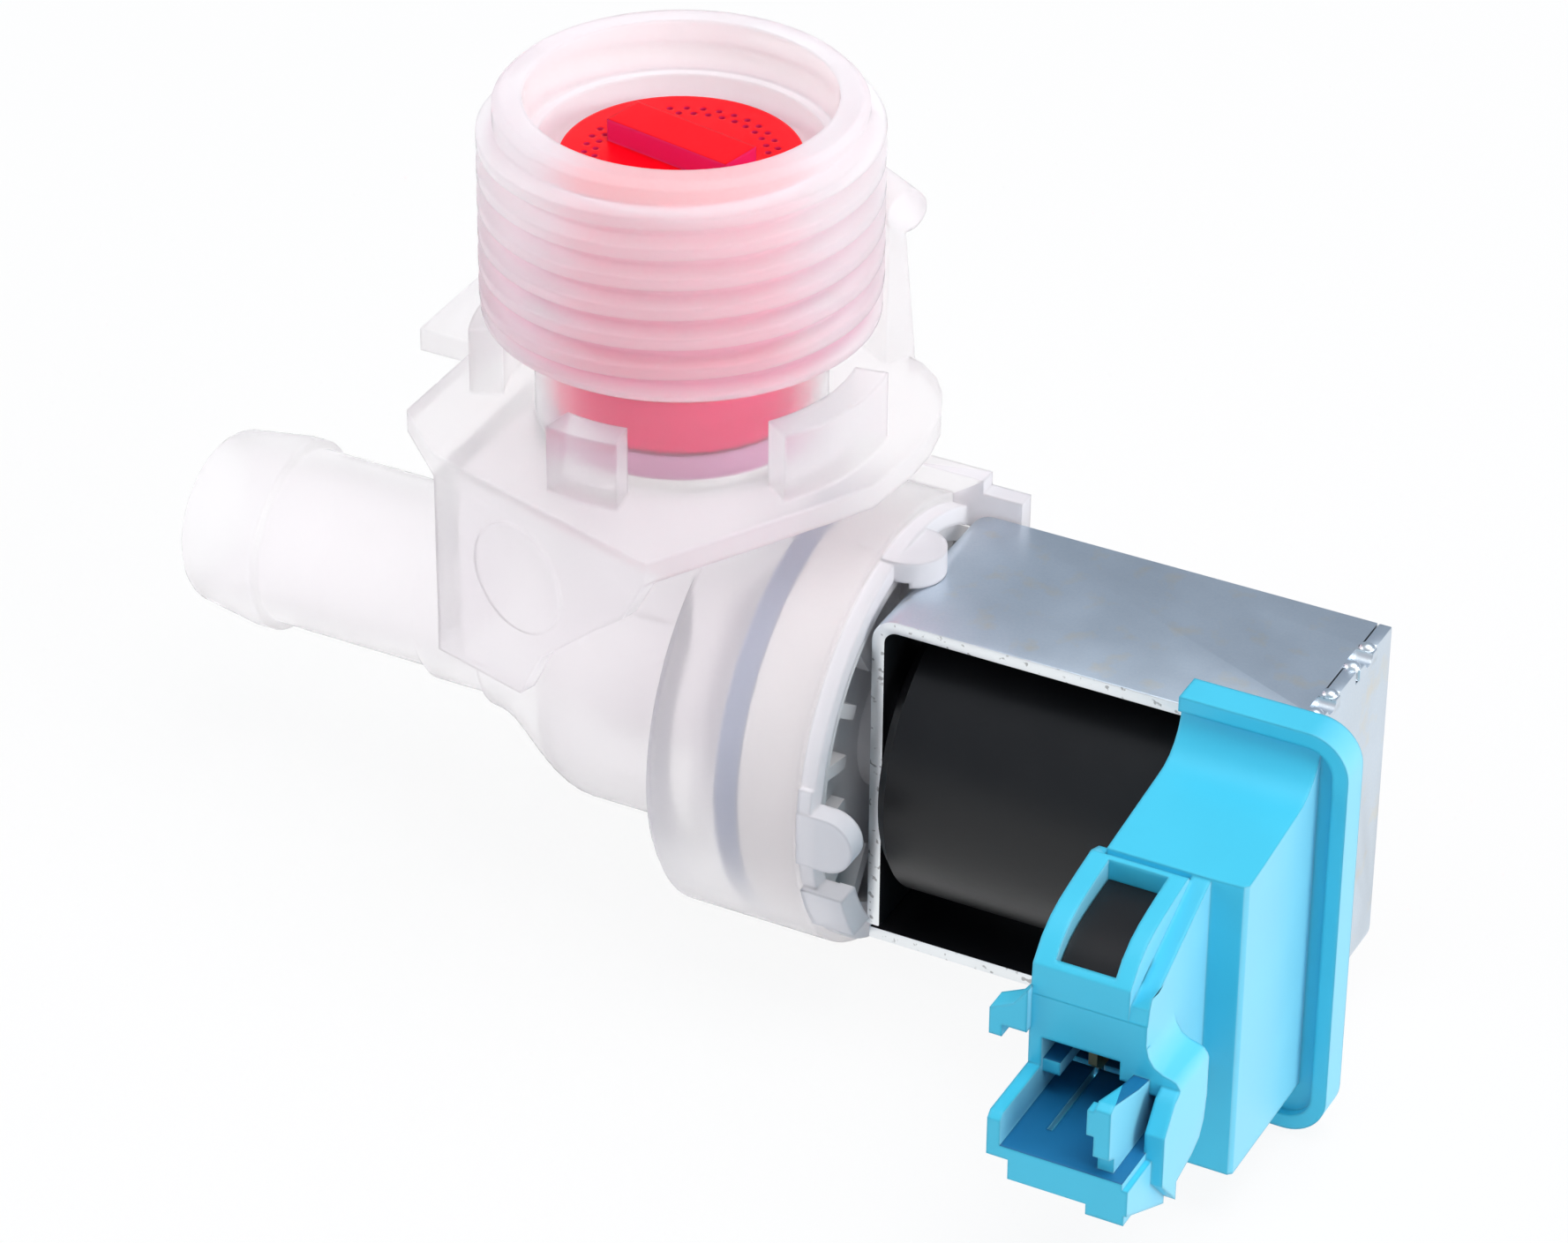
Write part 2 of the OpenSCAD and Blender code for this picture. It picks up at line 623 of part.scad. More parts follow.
// Black cover moulded over the coil, with the terminal post and its catch in front
module coil_overmould() {
    edge = 0.8;
    catch_front = window_front + fit_gap;
    catch_back = window_back - fit_gap;
    color([0.09, 0.09, 0.10]) difference() {
        union() {
            along_x(coil_x) rotate_extrude() polygon([[0, 0], [coil_r - edge, 0], [coil_r, edge],
                [coil_r, coil_l - edge], [coil_r - edge, coil_l], [0, coil_l]]);
            from_side(post_x, post_x + post_w, concat([[-6, post_bottom], [-6, nose_top - 1.5]],
                nose_line(-1.5, body_front + 2, catch_front),
                [[catch_front, arm_bottom], [socket_back, arm_bottom], [socket_back, post_bottom]]));
            from_side(window_x + fit_gap, window_x + window_w - fit_gap, concat(
                [[catch_back, arm_bottom + 1]], nose_line(-0.4, catch_back, catch_front),
                [[catch_front, arm_bottom + 1]]));
        }
        ring_x(coil_x + cover_wall, coil_end - cover_wall, bobbin_flange_r + slip);
        ring_x(coil_x - cut, coil_end + cut, bobbin_r);
        for (i = [0, 1]) block([blade_x(i) - slip, socket_back - cut, terminal_z - slip],
            [blade_x(i) + blade_t + slip, blade_root + slip, terminal_z + blade_h + slip]);
    }
}

// Left side of one blade, and the blade itself, in brass with a pointed front end
function blade_x(i) = terminal_x + i * terminal_pitch;
module terminal(i) {
    z = terminal_z;
    color([0.80, 0.62, 0.27]) from_side(blade_x(i), blade_x(i) + blade_t, [[blade_tip, z + 0.7],
        [blade_tip + 0.7, z], [blade_root, z], [blade_root, z + blade_h], [blade_tip + 0.7, z + blade_h],
        [blade_tip, z + blade_h - 0.7]]);
}
module terminal_inner() { terminal(0); }
module terminal_outer() { terminal(1); }

// Steel sleeves that carry the field to the plunger
module flux_sleeve_left() {
    color([0.62, 0.63, 0.65]) ring_x(yoke_in + slip, coil_x + sleeve_l, sleeve_r, tube_r + fit_gap);
}
module flux_sleeve_right() {
    color([0.62, 0.63, 0.65]) ring_x(coil_end - sleeve_l, yoke_out - slip, sleeve_r, tube_r + fit_gap);
}

// Corner of a bent strip, drawn at the origin as its outer quarter
module bend_profile() {
    intersection() {
        difference() {
            circle(r = bend_r, $fn = 64);
            circle(r = bend_r - yoke_t, $fn = 64);
        }
        square(bend_r);
    }
}

// Strip drawn in (x, z) and pulled out to the yoke's width
module strip() {
    translate([0, yoke_w / 2, 0]) rotate([90, 0, 0]) linear_extrude(yoke_w) children();
}

// Upper strip: left side and top, with fingers at its right end
module yoke_upper() {
    foot = yoke_bottom + yoke_t + 0.15;
    color([0.66, 0.69, 0.72]) difference() {
        union() {
            strip() {
                translate([yoke_x, foot]) square([yoke_t, yoke_top - bend_r - foot]);
                translate([yoke_x + bend_r, yoke_top - bend_r]) mirror([1, 0]) bend_profile();
                translate([yoke_x + bend_r, yoke_top - yoke_t])
                    square([yoke_out - slip - yoke_x - bend_r, yoke_t]);
            }
            for (y = finger_y) block([yoke_out - 1, y - finger_w / 2, yoke_top - yoke_t],
                                     [yoke_end + 0.15, y + finger_w / 2, yoke_top]);
        }
        ring_x(yoke_x - cut, yoke_in + cut, tube_r + fit_gap);
    }
}

// Lower strip: right side and bottom, notched for the upper strip's fingers
module yoke_lower() {
    left = yoke_x + 0.15;
    color([0.70, 0.72, 0.75]) difference() {
        strip() {
            translate([yoke_out, yoke_bottom + bend_r])
                square([yoke_t, yoke_top - yoke_bottom - bend_r]);
            translate([yoke_end - bend_r, yoke_bottom + bend_r]) mirror([0, 1]) bend_profile();
            translate([left, yoke_bottom]) square([yoke_end - bend_r - left, yoke_t]);
        }
        for (y = finger_y)
            block([yoke_out - cut, y - finger_w / 2 - finger_gap, yoke_top - yoke_t - slip],
                  [yoke_end + cut, y + finger_w / 2 + finger_gap, yoke_top + cut]);
    }
}

// Cap: flange with its raised lip, against the front of the yoke
module cap_flange() {
    r = 3;
    bottom = flange_top - flange_h;
    right = flange_x + flange_w;
    lip_w = 1.1;
    module outline(inset) {
        difference() {
            union() {
                translate([flange_x, bottom + inset]) square([flange_w - r, flange_h - 2 * inset]);
                translate([flange_x, bottom + r]) square([flange_w - inset, flange_h - 2 * r]);
                for (z = [bottom + r, flange_top - r]) translate([right - r, z]) circle(r = r - inset);
            }
        }
    }
    translate([0, yoke_front - slip, 0]) rotate([90, 0, 0]) {
        linear_extrude(flange_t) outline(0);
        linear_extrude(flange_t + 0.6) difference() {
            outline(0);
            outline(lip_w);
        }
    }
}

// Cap: body that covers the terminal end of the coil
module cap_body() {
    r = 2.4;
    rise = 3.4;
    deep = cap_reach + 4;
    sweep = [for (a = [0 : 15 : 90])
        [flange_front - rise * (1 - cos(a)), cap_top + rise - rise * sin(a)]];
    intersection() {
        from_side(cap_x, cap_end, concat([[yoke_front - 1, cap_bottom], [yoke_front - 1, cap_top + rise]],
            sweep, [[body_front, cap_top], [body_front, cap_bottom]]));
        translate([0, 0, cap_bottom - 1]) linear_extrude(flange_top - cap_bottom + 2) {
            translate([cap_x, body_front]) square([cap_w - r, deep]);
            translate([cap_x, body_front + r]) square([cap_w, deep - r]);
            translate([cap_end - r, body_front + r]) circle(r = r);
        }
        union() {
            along_y(yoke_front, deep) {
                translate([cap_x, cap_bottom]) square([cap_w, cap_top - cap_round - cap_bottom]);
                translate([cap_x + cap_round, cap_bottom]) square([cap_w - cap_round, cap_top - cap_bottom]);
                translate([cap_x + cap_round, cap_top - cap_round]) circle(r = cap_round);
            }
            block([flange_x, body_front, cap_top - cap_round], [cap_end, yoke_front, flange_top]);
        }
    }
}

// An outline in (x, z), pulled out towards -Y from y
module along_y(y, depth) {
    translate([0, y, 0]) rotate([90, 0, 0]) linear_extrude(depth) children();
}

// Top line of the nose in (y, z), a step off it, from one place to another
function nose_bend(y) = let (t = max(0, (body_front - y) / nose_reach)) 0.9 * t + 2.6 * pow(t, 5);
function nose_line(step, back, front) = [for (i = [0 : 8]) let (y = back + (front - back) * i / 8)
    [y, nose_top + step - nose_bend(y)]];

// Cap: nose with the raised frame of its window
module cap_nose() {
    chin = nose_top - 5.3;
    from_side(cap_x, nose_end, concat([[body_front + 1, socket_floor - 1]],
        nose_line(0, body_front + 1, nose_front + 0.3), [[nose_front, chin], [nose_front, socket_floor - 1]]));
    from_side(cap_x, frame_end, concat([[body_front + 0.6, nose_top - 1]],
        nose_line(rail_h, body_front + 0.6, nose_front + 0.2), [[nose_front, chin], [nose_front + 1, chin]]));
}

// Cap: block of the socket, wider than the nose, with its rounded shoulder
module cap_block() {
    r = 2.5;
    along_y(block_y, block_y - nose_front) {
        translate([cap_x, block_bottom]) square([cap_w - r, block_top - block_bottom]);
        translate([cap_x, block_bottom]) square([cap_w, block_top - block_bottom - r]);
        translate([cap_end - r, block_top - r]) circle(r = r);
    }
}

// Cap: open tray with its left wall, raised underside and foot
module cap_tray() {
    from_side(cap_x, cap_end - 1.2, [[nose_front + 1, socket_floor - 2], [nose_front + 1, socket_floor],
        [tray_front, socket_floor], [tray_front, socket_floor - 0.9]]);
    from_side(cap_x + 1.5, cap_end - 0.8, [[nose_front + 1, block_bottom], [nose_front + 1, socket_floor - 0.5],
        [tray_front, socket_floor - 0.5], [tray_front, socket_floor - 2.4]]);
    from_side(cap_x, cap_x + 0.9, [[nose_front + 1, socket_floor - 0.1], [nose_front + 1, wall_top],
        [tray_front + 0.4, wall_top], [tray_front, wall_top - 0.4], [tray_front, socket_floor - 0.1]]);
    block([cap_x + 6.9, tray_front, socket_floor - 3.2], [cap_end - 1, tray_front + 2.2, socket_floor - 1]);
}

// Cap: latch wall, its hook and the outer wall at the right of the tray
module cap_latch() {
    back = nose_front + 1;
    hook = 0.5;
    from_side(latch_wall_x, latch_wall_x + latch_wall, [[back, socket_floor - 0.1], [back, socket_roof - 0.9],
        [nose_front - 1.7, socket_roof - 0.3], [tray_front + 0.6, socket_roof + 0.9],
        [tray_front, socket_roof + 0.6], [tray_front, socket_floor + 1.5], [tray_front + 0.8, socket_floor + 1.1],
        [tray_front + 0.8, socket_floor - 0.1]]);
    block([latch_wall_x - hook, tray_front, socket_floor + 3], [latch_wall_x + 0.2, tray_front + 1, socket_roof + 0.4]);
    from_side(outer_wall_x, cap_end, [[back, block_bottom], [back, socket_roof + 1],
        [nose_front - 1.6, socket_roof + 0.4], [nose_front - 2.3, socket_roof - 1.2],
        [nose_front - 2.3, socket_floor - 2.3]]);
}

// Cap: hooked lug at the left of the socket
module cap_lug() {
    x = cap_x - 2.5;
    z = socket_roof - 0.4;
    along_y(nose_front + 1.2, 1.8)
        polygon([[x, z], [x, z + 2], [x + 1.6, z + 2.8], [x + 2.6, z + 4.2], [x + 2.6, z + 0.9],
                 [x + 0.9, z + 0.9], [x + 0.9, z]]);
}

// Room inside the cap for the coil, the post, the catch and the plug
module cap_rooms() {
    inner_back = yoke_front + 1;
    scallop_r = 1;
    nose_in = nose_end - cap_wall;
    // Room for the coil's terminal end
    from_side(cap_x + cap_wall, cap_end - cap_wall, [[inner_back, cap_bottom + cap_wall],
        [inner_back, cap_top - cap_wall - 0.6], [body_front + cap_wall, cap_top - cap_wall - 0.6],
        [body_front + cap_wall, cap_bottom + cap_wall]]);
    // Room for the post and its arm
    from_side(cap_x + cap_wall, nose_in, concat([[body_front + 2, post_bottom - fit_gap]],
        nose_line(-1.3, body_front + 2, window_front),
        [[window_front, arm_bottom - fit_gap], [socket_back - 0.1, arm_bottom - fit_gap],
         [socket_back - 0.1, post_bottom - fit_gap]]));
    // Window over the catch
    block([window_x, window_front, arm_bottom + 0.5], [window_x + window_w, window_back, nose_top + 3]);
    // Mouth of the socket
    block([cap_x + 0.9, tray_front - cut, socket_floor], [cap_x + 6.3, socket_back, socket_roof]);
    block([cap_x + 0.9, tray_front - cut, socket_floor], [nose_in, socket_back, socket_roof - 1.4]);
    // Pocket between the latch wall and the outer wall
    block([latch_wall_x + latch_wall, tray_front - cut, socket_floor], [outer_wall_x, nose_front + 2.5, socket_roof - 1.8]);
    // Slot in the tray's floor
    block([cap_x + 2.8, tray_front + 2.9, socket_floor - 0.7], [cap_x + 3.2, socket_back, socket_floor + 0.1]);
    // Lead-in scallop in the block's front
    translate([nose_end + scallop_r, nose_front + 0.3, socket_roof + 0.3]) {
        cylinder(r = scallop_r, h = 6, $fn = 48);
        sphere(r = scallop_r, $fn = 48);
    }
    // The coil's round front
    ring_x(yoke_x, coil_end + 0.4, coil_r + 0.2);
}

// Blue cap with the plug socket
module connector_cap() {
    color([0.20, 0.74, 0.90]) union() {
        difference() {
            union() {
                cap_flange();
                cap_body();
                cap_nose();
                cap_block();
                cap_tray();
                cap_lug();
            }
            cap_rooms();
        }
        cap_latch();
        // Guide rib inside the left wall
        block([cap_x + 0.5, nose_front + 0.3, socket_floor + 1.7], [cap_x + 2.1, nose_front + 5, socket_floor + 2.7]);
    }
}

valve_body();
inlet_strainer();
flow_washer();
washer_seat();
diaphragm();
diaphragm_core();
bonnet();
plunger();
plunger_seal();
plunger_spring();
coil_bobbin();
coil_winding();
coil_overmould();
flux_sleeve_left();
flux_sleeve_right();
yoke_upper();
yoke_lower();
terminal_inner();
terminal_outer();
connector_cap();
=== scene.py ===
import json
import math
import bpy
from mathutils import Matrix, Vector

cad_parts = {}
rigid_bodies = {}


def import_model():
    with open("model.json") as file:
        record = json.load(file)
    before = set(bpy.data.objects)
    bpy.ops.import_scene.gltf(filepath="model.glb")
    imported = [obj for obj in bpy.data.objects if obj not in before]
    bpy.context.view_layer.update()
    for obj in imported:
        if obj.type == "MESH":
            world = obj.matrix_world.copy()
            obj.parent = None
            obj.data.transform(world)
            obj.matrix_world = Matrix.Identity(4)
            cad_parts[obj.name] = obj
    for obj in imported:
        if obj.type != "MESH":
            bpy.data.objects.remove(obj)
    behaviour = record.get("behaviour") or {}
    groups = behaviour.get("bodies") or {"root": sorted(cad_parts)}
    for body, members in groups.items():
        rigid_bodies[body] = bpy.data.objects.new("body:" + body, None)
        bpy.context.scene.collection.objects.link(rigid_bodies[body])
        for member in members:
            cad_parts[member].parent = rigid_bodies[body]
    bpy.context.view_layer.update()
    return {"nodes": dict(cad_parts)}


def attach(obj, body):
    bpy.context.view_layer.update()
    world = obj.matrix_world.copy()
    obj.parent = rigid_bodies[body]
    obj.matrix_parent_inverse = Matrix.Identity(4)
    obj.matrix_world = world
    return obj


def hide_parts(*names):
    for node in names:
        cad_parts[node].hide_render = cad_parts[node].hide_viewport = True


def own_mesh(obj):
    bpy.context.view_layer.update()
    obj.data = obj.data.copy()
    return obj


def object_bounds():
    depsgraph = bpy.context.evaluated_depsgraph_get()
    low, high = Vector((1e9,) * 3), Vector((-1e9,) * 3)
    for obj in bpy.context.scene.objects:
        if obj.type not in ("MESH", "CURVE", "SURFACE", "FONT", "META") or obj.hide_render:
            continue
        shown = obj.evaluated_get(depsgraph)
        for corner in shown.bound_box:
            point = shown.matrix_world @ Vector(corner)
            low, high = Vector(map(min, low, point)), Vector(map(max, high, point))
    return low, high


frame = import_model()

# Valve body: one clear polypropylene moulding with the threaded inlet, the plate that turns in behind
# the machine's panel, the round water chamber and the hose spigot. Every other piece fixes to it.
body_edge = 0.0004
body_tint = (0.995, 0.978, 0.99)
# The thread's tones are painted shade: the grooves and the lower turns are tinted pink and darker, standing for the red
# strainer's light through the thin wall.
ridge_painted_shade_low, ridge_painted_shade_high = (0.985, 0.955, 0.965), (0.995, 0.99, 0.995)
groove_painted_shade_low, groove_painted_shade_high = (0.945, 0.68, 0.78), (0.985, 0.945, 0.965)


def pick(piece):
    """Deselects everything and makes one object the active one."""
    if bpy.context.object and bpy.context.object.mode != "OBJECT":
        bpy.ops.object.mode_set(mode="OBJECT")
    for other in bpy.context.view_layer.objects:
        other.select_set(False)
    piece.select_set(True)
    bpy.context.view_layer.objects.active = piece


def merged_copy(node, name):
    """A copy of a frame node with its loose triangles merged into closed faces."""
    mesh = frame["nodes"][node].data.copy()
    piece = bpy.data.objects.new(name, mesh)
    bpy.context.scene.collection.objects.link(piece)
    pick(piece)
    bpy.ops.mesh.customdata_custom_splitnormals_clear()
    bpy.ops.object.mode_set(mode="EDIT")
    bpy.ops.mesh.select_all(action="SELECT")
    bpy.ops.mesh.remove_doubles(threshold=0.000003)
    bpy.ops.object.mode_set(mode="OBJECT")
    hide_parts(node)
    return piece


def combine(piece, tool, operation):
    """Joins a second object to a piece, or cuts it away, and removes it."""
    pick(piece)
    join = piece.modifiers.new("Join", "BOOLEAN")
    join.operation = operation
    join.solver = "EXACT"
    join.object = tool
    bpy.ops.object.modifier_apply(modifier="Join")
    bpy.data.objects.remove(tool)


def pushed_out(name, outline, depth):
    """A solid from a flat outline of points, pushed out by depth, to join to a piece or to cut it with."""
    bpy.ops.mesh.primitive_circle_add(vertices=len(outline), radius=0.001, fill_type="NGON")
    solid = bpy.context.object
    solid.name = name
    for corner, place in zip([solid.data.vertices[i] for i in solid.data.polygons[0].vertices], outline):
        corner.co = place
    bpy.ops.object.mode_set(mode="EDIT")
    bpy.ops.mesh.select_all(action="SELECT")
    bpy.ops.mesh.extrude_region_move(TRANSFORM_OT_translate={"value": depth})
    bpy.ops.mesh.select_all(action="SELECT")
    bpy.ops.mesh.normals_make_consistent(inside=False)
    bpy.ops.object.mode_set(mode="OBJECT")
    return solid


def crisp(piece, angle=32):
    """Smooth shading that stops at the sharp edges."""
    pick(piece)
    bpy.ops.object.shade_smooth_by_angle(angle=math.radians(angle))


def new_material(name):
    """A material with its shader, its nodes and its links."""
    material = bpy.data.materials.new(name)
    material.use_nodes = True
    tree = material.node_tree
    return material, tree, tree.nodes["Principled BSDF"]


def dress(piece, material, body):
    """Gives a piece its material and its body."""
    piece.data.materials.clear()
    piece.data.materials.append(material)
    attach(piece, body)


def dress_node(node, material):
    """Puts a better material on a frame node that stays as it is."""
    for slot in frame["nodes"][node].material_slots:
        slot.material = material


def grain_group():
    """Cloudy tone, roughness and fine height of a moulded surface."""
    group = bpy.data.node_groups.new("moulded_grain", "ShaderNodeTree")
    face = group.interface
    for name, value in (("Scale", 1.0), ("Cloud", 0.1), ("Rough", 0.4), ("Rough Spread", 0.1)):
        face.new_socket(name, in_out="INPUT", socket_type="NodeSocketFloat").default_value = value
    for name in ("Tone", "Roughness", "Height"):
        face.new_socket(name, in_out="OUTPUT", socket_type="NodeSocketFloat")
    nodes, links = group.nodes, group.links
    inside = nodes.new("NodeGroupInput")
    outside = nodes.new("NodeGroupOutput")
    place = nodes.new("ShaderNodeTexCoord")
    cloud = nodes.new("ShaderNodeTexNoise")
    cloud.inputs["Detail"].default_value = 4
    fine = nodes.new("ShaderNodeTexNoise")
    fine.inputs["Detail"].default_value = 3
    for noise, factor in ((cloud, 180.0), (fine, 2600.0)):
        size = nodes.new("ShaderNodeMath")
        size.operation = "MULTIPLY"
        size.inputs[1].default_value = factor
        links.new(inside.outputs["Scale"], size.inputs[0])
        links.new(size.outputs[0], noise.inputs["Scale"])
        links.new(place.outputs["Object"], noise.inputs["Vector"])
    tone = nodes.new("ShaderNodeMath")
    tone.operation = "MULTIPLY_ADD"
    centred = nodes.new("ShaderNodeMath")
    centred.operation = "SUBTRACT"
    centred.inputs[1].default_value = 0.5
    links.new(cloud.outputs["Fac"], centred.inputs[0])
    links.new(centred.outputs[0], tone.inputs[0])
    links.new(inside.outputs["Cloud"], tone.inputs[1])
    tone.inputs[2].default_value = 1.0
    links.new(tone.outputs[0], outside.inputs["Tone"])
    rough = nodes.new("ShaderNodeMath")
    rough.operation = "MULTIPLY_ADD"
    links.new(centred.outputs[0], rough.inputs[0])
    links.new(inside.outputs["Rough Spread"], rough.inputs[1])
    links.new(inside.outputs["Rough"], rough.inputs[2])
    links.new(rough.outputs[0], outside.inputs["Roughness"])
    links.new(fine.outputs["Fac"], outside.inputs["Height"])
    return group


grain = grain_group()


def add_grain(tree, shader, colour, scale=1.0, cloud=0.1, rough=0.4, spread=0.1, height=0.1, depth=0.00002, edge=0.0):
    """Puts the grain on a shader: tone on its colour, its roughness, its fine bump and its soft edges."""
    node = tree.nodes.new("ShaderNodeGroup")
    node.node_tree = grain
    for name, value in (("Scale", scale), ("Cloud", cloud), ("Rough", rough), ("Rough Spread", spread)):
        node.inputs[name].default_value = value
    tint = tree.nodes.new("ShaderNodeVectorMath")
    tint.operation = "SCALE"
    if isinstance(colour, tuple):
        tint.inputs[0].default_value = colour
    else:
        tree.links.new(colour, tint.inputs[0])
    tree.links.new(node.outputs["Tone"], tint.inputs["Scale"])
    tree.links.new(tint.outputs[0], shader.inputs["Base Color"])
    tree.links.new(node.outputs["Roughness"], shader.inputs["Roughness"])
    bump = tree.nodes.new("ShaderNodeBump")
    bump.inputs["Strength"].default_value = height
    bump.inputs["Distance"].default_value = depth
    tree.links.new(node.outputs["Height"], bump.inputs["Height"])
    tree.links.new(bump.outputs["Normal"], shader.inputs["Normal"])
    if edge > 0:
        corner = tree.nodes.new("ShaderNodeBevel")
        corner.samples = 6
        corner.inputs["Radius"].default_value = edge
        tree.links.new(corner.outputs["Normal"], bump.inputs["Normal"])
    return node


clear, tree, shader = new_material("clear_polypropylene")
add_grain(tree, shader, body_tint, scale=0.6, cloud=0.05, rough=0.52, spread=0.12, height=0.15, edge=body_edge)
shader.inputs["Transmission Weight"].default_value = 0.92
shader.inputs["IOR"].default_value = 1.14
shader.inputs["Specular IOR Level"].default_value = 0.5


def reach_group():
    """How far a point lies from the inlet's axis, as a mask from one reach to another."""
    group = bpy.data.node_groups.new("axis_reach", "ShaderNodeTree")
    face = group.interface
    for name in ("Inner", "Outer"):
        face.new_socket(name, in_out="INPUT", socket_type="NodeSocketFloat")
    for name in ("Mask", "Level"):
        face.new_socket(name, in_out="OUTPUT", socket_type="NodeSocketFloat")
    nodes, links = group.nodes, group.links
    inside = nodes.new("NodeGroupInput")
    outside = nodes.new("NodeGroupOutput")
    place = nodes.new("ShaderNodeTexCoord")
    split = nodes.new("ShaderNodeSeparateXYZ")
    flat = nodes.new("ShaderNodeCombineXYZ")
    length = nodes.new("ShaderNodeVectorMath")
    length.operation = "LENGTH"
    ramp = nodes.new("ShaderNodeMapRange")
    links.new(place.outputs["Object"], split.inputs[0])
    links.new(split.outputs["X"], flat.inputs["X"])
    links.new(split.outputs["Y"], flat.inputs["Y"])
    links.new(flat.outputs[0], length.inputs[0])
    links.new(length.outputs["Value"], ramp.inputs["Value"])
    links.new(inside.outputs["Inner"], ramp.inputs["From Min"])
    links.new(inside.outputs["Outer"], ramp.inputs["From Max"])
    links.new(ramp.outputs["Result"], outside.inputs["Mask"])
    links.new(split.outputs["Z"], outside.inputs["Level"])
    return group


# Painted shade on the thread: a pink tint chosen by reach from the axis and by height, deepest in the grooves and low
# down.
frosted, tree, shader = new_material("frosted_thread")
reach = tree.nodes.new("ShaderNodeGroup")
reach.node_tree = reach_group()
reach.inputs["Inner"].default_value = 0.01235
reach.inputs["Outer"].default_value = 0.01305
height = tree.nodes.new("ShaderNodeMapRange")
height.inputs["From Min"].default_value = 0.008
height.inputs["From Max"].default_value = 0.021
tree.links.new(reach.outputs["Level"], height.inputs["Value"])
tint = tree.nodes.new("ShaderNodeMix")
tint.data_type = "RGBA"
tree.links.new(reach.outputs["Mask"], tint.inputs["Factor"])
for name, low_tone, high_tone in (("A", groove_painted_shade_low, groove_painted_shade_high), ("B", ridge_painted_shade_low, ridge_painted_shade_high)):
    rise = tree.nodes.new("ShaderNodeMix")
    rise.data_type = "RGBA"
    rise.inputs["A"].default_value = (*low_tone, 1)
    rise.inputs["B"].default_value = (*high_tone, 1)
    tree.links.new(height.outputs["Result"], rise.inputs["Factor"])
    tree.links.new(rise.outputs["Result"], tint.inputs[name])
add_grain(tree, shader, tint.outputs["Result"], scale=0.6, cloud=0.05, rough=0.58, spread=0.12, height=0.2, edge=body_edge)
shader.inputs["Transmission Weight"].default_value = 0.66
shader.inputs["IOR"].default_value = 1.16
shader.inputs["Specular IOR Level"].default_value = 0.5
thick, tree, shader = new_material("thick_rim")
add_grain(tree, shader, (0.86, 0.84, 0.86), scale=0.6, cloud=0.05, rough=0.52, spread=0.12, height=0.15, edge=body_edge)
shader.inputs["Transmission Weight"].default_value = 0.35
shader.inputs["IOR"].default_value = 1.14
body = merged_copy("valve_body", "body_moulding")

# The front tab's eye is closed again
bpy.ops.mesh.primitive_cylinder_add(vertices=24, radius=0.0006, depth=0.0018, location=(0.01895, -0.0004, -0.0063))
combine(body, bpy.context.object, "UNION")

# The thread: the frame's plain rings are laid down to the root and one right-handed ridge is wound on
root, crest, pitch = 0.0124, 0.0135, 0.002209
ridge_foot, ridge_top, thread_low, thread_high = 0.00093, 0.00038, 0.0090, 0.0222
front = math.radians(-62.9)
wind = math.radians(200)
ridge_z = 0.010125 - pitch * wind / math.tau
turns = 6.0
for corner in body.data.vertices:
    x, y, z = corner.co
    reach = math.hypot(x, y)
    if thread_low - 0.0002 < z < thread_high and root + 0.0001 < reach < crest + 0.0002:
        corner.co.x, corner.co.y = x * root / reach, y * root / reach
bpy.ops.mesh.primitive_plane_add(size=0.001)
ridge = bpy.context.object
ridge.name = "thread_ridge"
corners = [(root - 0.00015, -ridge_foot), (crest, -ridge_top), (crest, ridge_top), (root - 0.00015, ridge_foot)]
for corner, (reach, level) in zip([ridge.data.vertices[i] for i in ridge.data.polygons[0].vertices], corners):
    corner.co = (reach * math.cos(front - wind), reach * math.sin(front - wind), ridge_z + level)
bpy.ops.object.mode_set(mode="EDIT")
bpy.ops.mesh.select_all(action="SELECT")
bpy.ops.mesh.delete(type="ONLY_FACE")
bpy.ops.object.mode_set(mode="OBJECT")
winding = ridge.modifiers.new("Winding", "SCREW")
winding.axis = "Z"
winding.angle = math.tau * turns
winding.screw_offset = pitch * turns
winding.steps = winding.render_steps = 540
winding.use_merge_vertices = False
bpy.ops.object.modifier_apply(modifier="Winding")
fade = math.radians(50)
for corner in ridge.data.vertices:
    x, y, z = corner.co
    reach = math.hypot(x, y)
    turned = (z - ridge_z) / pitch * math.tau
    spare = min(turned, math.tau * turns - turned) / fade
    if reach > root and spare < 1:
        shrunk = root - 0.0001 + (crest - root + 0.0001) * max(0, spare)
        corner.co.x, corner.co.y = x * shrunk / reach, y * shrunk / reach
bpy.ops.object.mode_set(mode="EDIT")
bpy.ops.mesh.select_all(action="SELECT")
bpy.ops.mesh.fill_holes(sides=0)
bpy.ops.mesh.select_all(action="SELECT")
bpy.ops.mesh.normals_make_consistent(inside=False)
bpy.ops.object.mode_set(mode="OBJECT")
combine(body, ridge, "UNION")

# The round tab sits lower on the chamber's edge than the frame's, and the foot below it ends a little sooner
tab_x, tab_z, tab_r, tab_front, tab_root = 0.0190, -0.0205, 0.00205, -0.01578, 0.0169
old_tab = [(0.01786, -0.0167), (0.0214, -0.0167), (0.0214, -0.0212), (0.01786, -0.0212)]
combine(body, pushed_out("old_tab", [(x, -0.0162, z) for x, z in old_tab], (0, 0.0032, 0)), "DIFFERENCE")
arc = [math.radians(90 - 10 * i) for i in range(19)]
new_tab = [(tab_root, tab_z + tab_r)] + [(tab_x + tab_r * math.cos(turn), tab_z + tab_r * math.sin(turn)) for turn in arc]
new_tab.append((tab_root, tab_z - tab_r))
combine(body, pushed_out("new_tab", [(x, tab_front, z) for x, z in new_tab], (0, 0.0017, 0)), "UNION")
